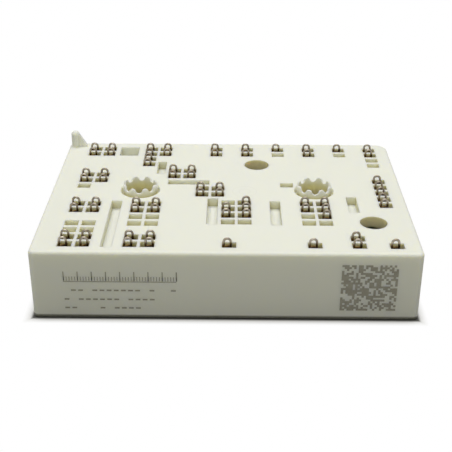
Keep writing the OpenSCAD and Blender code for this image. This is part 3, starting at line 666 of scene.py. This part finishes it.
# %% Geometry Nodes for rows of tiles
tile_tree, tile_in, tile_out = new_geometry_tree("tiles", [
    ("Tile", "NodeSocketVector", None),
    ("Fill", FLOAT, 0.5),
    ("Seed", "NodeSocketInt", 1),
    ("Material", "NodeSocketMaterial", None),
])
tile = add_node(tile_tree, "GeometryNodeMeshCube", {"Size": tile_in.outputs["Tile"]})
keep = add_node(tile_tree, "FunctionNodeRandomValue", {
    "Probability": tile_in.outputs["Fill"], "Seed": tile_in.outputs["Seed"],
}, data_type="BOOLEAN")
laid = add_node(tile_tree, "GeometryNodeInstanceOnPoints", {
    "Points": tile_in.outputs["Geometry"], "Selection": keep.outputs[3], "Instance": tile.outputs["Mesh"],
})
finish_tree(tile_tree, laid.outputs["Instances"], tile_in.outputs["Material"], tile_out, False)


def tiles(name, points, size_mm, fill, seed, material):
    """Tiles on the front face; points are x and z in millimetres, size is across and up."""
    front = housing_low[1]
    seed_mesh = bpy.data.meshes.new(name)
    seed_mesh.from_pydata([(x * MM, front, z * MM) for x, z in points], [], [])
    piece = grow(name, tile_tree, seed_mesh, {
        "Tile": Vector((size_mm[0], 0.02, size_mm[1])) * MM, "Fill": fill, "Seed": seed, "Material": material,
    })
    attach(piece, "root")
    return piece


# %% Code square
CODE_CELLS = 24
CELL_W = 0.49
CELL_H = 0.46
CODE_LEFT = 24.1
CODE_LOW = 2.4
cell_x = [CODE_LEFT + (k + 0.5) * CELL_W for k in range(CODE_CELLS)]
cell_z = [CODE_LOW + (k + 0.5) * CELL_H for k in range(CODE_CELLS)]
tiles("code_cells", [(x, z) for x in cell_x for z in cell_z], (CELL_W, CELL_H), 0.56, 11, marks_dark)

# %% Scale and dashes
MARK_LEFT = -34.0
SCALE_L = 23.6
RULE_Z = 9.0
tiles("scale_rule", [(MARK_LEFT + SCALE_L / 2, RULE_Z)], (SCALE_L, 0.16), 1.0, 1, marks_dark)
tick_x = [MARK_LEFT + 0.1 + k * SCALE_L / 40 for k in range(41)]
tiles("scale_ticks", [(x, RULE_Z + 1.3) for x in tick_x[::5]], (0.2, 2.2), 1.0, 1, marks_dark)
tiles("scale_fine_ticks", [(x, RULE_Z + 0.7) for x in tick_x], (0.14, 1.0), 1.0, 1, marks_dark)
for row_index, (row_z, row_l, seed) in enumerate(((6.9, 24.5, 3), (4.7, 19.5, 5), (2.6, 17.0, 8))):
    dash_x = [MARK_LEFT + 0.5 + k * 1.5 for k in range(int(row_l / 1.5))]
    tiles("dashes_%d" % row_index, [(x, row_z) for x in dash_x], (1.0, 0.34), 0.86, seed, marks_dark)

# %% [markdown]
# ## Floor, lamps and sky
#
# The module lies on a white table under a broad soft lamp. The lamp hangs
# overhead, so the top face is bright and the front face gets less than half of
# its light. The floor looks white to the camera and in reflections, but sends
# only a little light back up, as a table would that reaches far past the lamp.
# Right at the module's foot the floor's colour holds a painted contact shadow,
# and near the module it sends up still less light, which is painted shade too.

# %% Floor
floor_mesh = bpy.data.meshes.new("floor")
FLOOR = 3.0
floor_mesh.from_pydata(
    [(x * FLOOR, y * FLOOR, cad_box[0][2]) for x, y in ((-1, -1), (1, -1), (1, 1), (-1, 1))],
    [], [(0, 1, 2, 3)],
)
floor = bpy.data.objects.new("floor", floor_mesh)
bpy.context.scene.collection.objects.link(floor)
table, tree, shader = new_material("white_table")
tree.nodes.remove(shader)
light_path = add_node(tree, "ShaderNodeLightPath")
seen = math_node(tree, "ADD", light_path.outputs["Is Camera Ray"], light_path.outputs["Is Glossy Ray"])
seen = math_node(tree, "ADD", seen, light_path.outputs["Is Transmission Ray"], clamp=True)
spot = coordinates(tree, object_coordinates(tree))
past_end = math_node(tree, "SUBTRACT", math_node(tree, "ABSOLUTE", spot["X"]), housing_high[0])
past_side = math_node(tree, "SUBTRACT", math_node(tree, "ABSOLUTE", spot["Y"]), housing_high[1])
away = math_node(tree, "MAXIMUM", past_end, past_side)
# Painted contact shadow: the floor's colour is dark right at the module's foot and turns white within a
# millimetre.
contact_shadow_tone = blend_colors(tree, ramp(tree, away, 0.0, 0.8 * MM), (0.14, 0.14, 0.13), (1.0, 1.0, 1.0))
seen_white = add_node(tree, "ShaderNodeMixShader", {
    0: ramp(tree, away, 0.0, 2.4 * MM),
    1: add_node(tree, "ShaderNodeBsdfDiffuse", {"Color": contact_shadow_tone}).outputs[0],
    2: add_node(tree, "ShaderNodeEmission", {"Color": (1, 1, 1, 1), "Strength": 1.0}).outputs[0],
})
# Painted shade: near the module the floor sends less light back up, which darkens the lowest part of the
# front face.
shaded_bounce_tone = blend_colors(tree, ramp(tree, away, 0.0, 40 * MM), (0.15, 0.15, 0.13), (0.42, 0.42, 0.37))
dull = add_node(tree, "ShaderNodeBsdfDiffuse", {"Color": shaded_bounce_tone})
mixed = add_node(tree, "ShaderNodeMixShader", {0: seen, 1: dull.outputs[0], 2: seen_white.outputs[0]})
tree.links.new(mixed.outputs[0], tree.nodes["Material Output"].inputs["Surface"])
floor_mesh.materials.append(table)

# %% World and lamps
world = bpy.data.worlds.new("studio")
bpy.context.scene.world = world
world.use_nodes = True
tree = world.node_tree
sky = tree.nodes["Background"]
sky.inputs["Color"].default_value = (1.0, 0.99, 0.93, 1.0)
light_path = add_node(tree, "ShaderNodeLightPath")
direct = math_node(tree, "MULTIPLY", light_path.outputs["Is Camera Ray"], 0.76)
tree.links.new(math_node(tree, "ADD", direct, 0.26), sky.inputs["Strength"])


def lamp(name, place, aim, size, power, color):
    """A rectangular soft lamp that looks from its place to a point."""
    data = bpy.data.lights.new(name, "AREA")
    data.shape = "RECTANGLE"
    data.size, data.size_y = size
    data.energy = power
    data.color = color
    light = bpy.data.objects.new(name, data)
    light.location = place
    light.rotation_euler = (Vector(aim) - Vector(place)).to_track_quat("-Z", "Y").to_euler()
    bpy.context.scene.collection.objects.link(light)
    return light


lamp("overhead", (0.0, 0.10, 0.55), (0, 0, 0.01), (0.55, 0.40), 2.66, (1.0, 0.995, 0.98))
lamp("front_fill", (-0.1, -0.75, 0.40), (0, 0, 0.01), (0.5, 0.3), 1.08, (1.0, 0.985, 0.92))
bpy.context.scene.view_settings.view_transform = "Standard"
